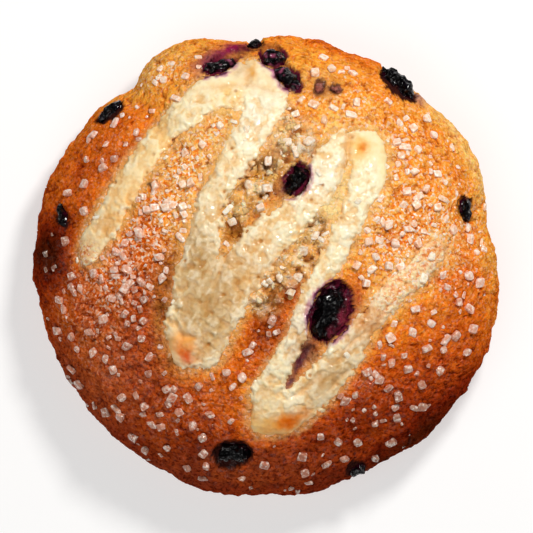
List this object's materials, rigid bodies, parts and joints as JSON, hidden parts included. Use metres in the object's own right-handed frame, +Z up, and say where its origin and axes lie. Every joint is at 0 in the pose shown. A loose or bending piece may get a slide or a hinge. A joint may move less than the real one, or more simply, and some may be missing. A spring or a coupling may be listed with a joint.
{
  "type": "muffin top",
  "caption": "Whole domed muffin top with a baked-in zigzag ribbon of cream cheese, dark berries and coarse sugar crystals on the crust.",
  "frame": {"origin": "middle of the flat base, on the surface it rests on", "axes": "+Z up through the top of the dome; seen from above, +Y points to the edge where the ribbon's first turn lies, and +X to the edge where its last limb ends"},
  "size_m": [0.1056, 0.1044, 0.0386],
  "materials": {
    "crust": "browned cake crust, slightly glossy, with pale sugar crystals",
    "cream": "baked cream cheese, satin",
    "berry_skin": "wrinkled, moist berry skin"
  },
  "bodies": {
    "root": {"cake": "crust", "cream_ribbon": "cream", "berry_heart": "berry_skin", "berry_centre": "berry_skin", "berry_crown_tall": "berry_skin", "berry_crown_low": "berry_skin", "berry_crown_left": "berry_skin", "berry_far_rim": "berry_skin", "berry_right_rim": "berry_skin", "berry_right": "berry_skin", "berry_front": "berry_skin", "berry_front_rim": "berry_skin", "berry_left": "berry_skin", "berry_left_rim": "berry_skin", "berry_buried_left": "berry_skin", "berry_buried_right": "berry_skin"}
  },
  "joints": []
}
